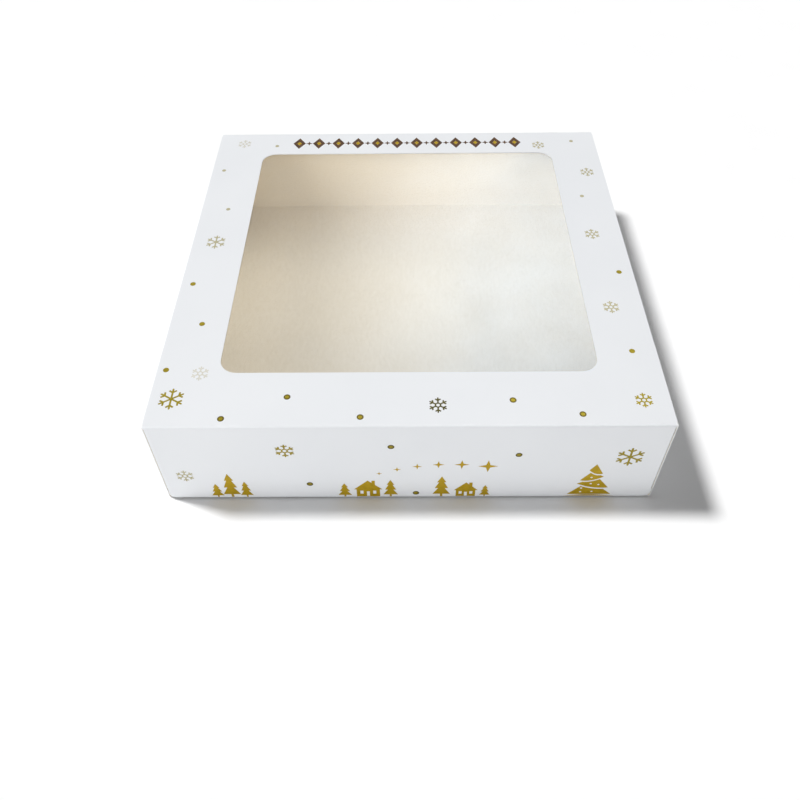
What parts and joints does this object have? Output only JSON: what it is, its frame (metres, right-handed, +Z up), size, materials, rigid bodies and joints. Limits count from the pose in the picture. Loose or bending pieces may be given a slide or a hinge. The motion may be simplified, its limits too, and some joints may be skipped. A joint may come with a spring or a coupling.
{
  "type": "cookie box",
  "caption": "Flat square folding-carton cookie box with a hinged lid, a clear film window, a front flap with tuck-in ears and a tray with roll-over side walls.",
  "frame": {"origin": "under the middle of the floor, on the surface that the box stands on", "axes": "+Z up, +X to the right as the front flap is faced, and the front flap faces -Y"},
  "size_m": [0.25, 0.25, 0.06],
  "materials": {
    "printed_board": "coated white carton board with gold foil print",
    "bare_board": "uncoated cream carton board",
    "clear_film": "clear glossy film",
    "adhesive": "dry adhesive"
  },
  "bodies": {
    "tray": {"base_floor": "bare_board", "base_front_wall": "bare_board", "base_back_wall": "printed_board", "right_outer_wall": "printed_board", "right_top_rim": "printed_board", "right_inner_wall": "bare_board", "front_right_tab": "bare_board", "back_right_tab": "bare_board", "left_outer_wall": "printed_board", "left_top_rim": "printed_board", "left_inner_wall": "bare_board", "front_left_tab": "bare_board", "back_left_tab": "bare_board"},
    "lid": {"lid_panel": "printed_board", "window_adhesive": "adhesive", "window_film": "clear_film"},
    "flap": {"front_flap": "printed_board", "right_ear": "printed_board", "left_ear": "printed_board"}
  },
  "joints": [
    {"name": "lid_hinge", "type": "hinge", "parent": "tray", "child": "lid", "pos_m": [0, 0.12471, 0.05971], "axis": [-1, 0, 0], "range_deg": [0, 180]},
    {"name": "flap_fold", "type": "hinge", "parent": "lid", "child": "flap", "pos_m": [0, -0.12471, 0.05971], "axis": [-1, 0, 0], "range_deg": [0, 90]}
  ]
}
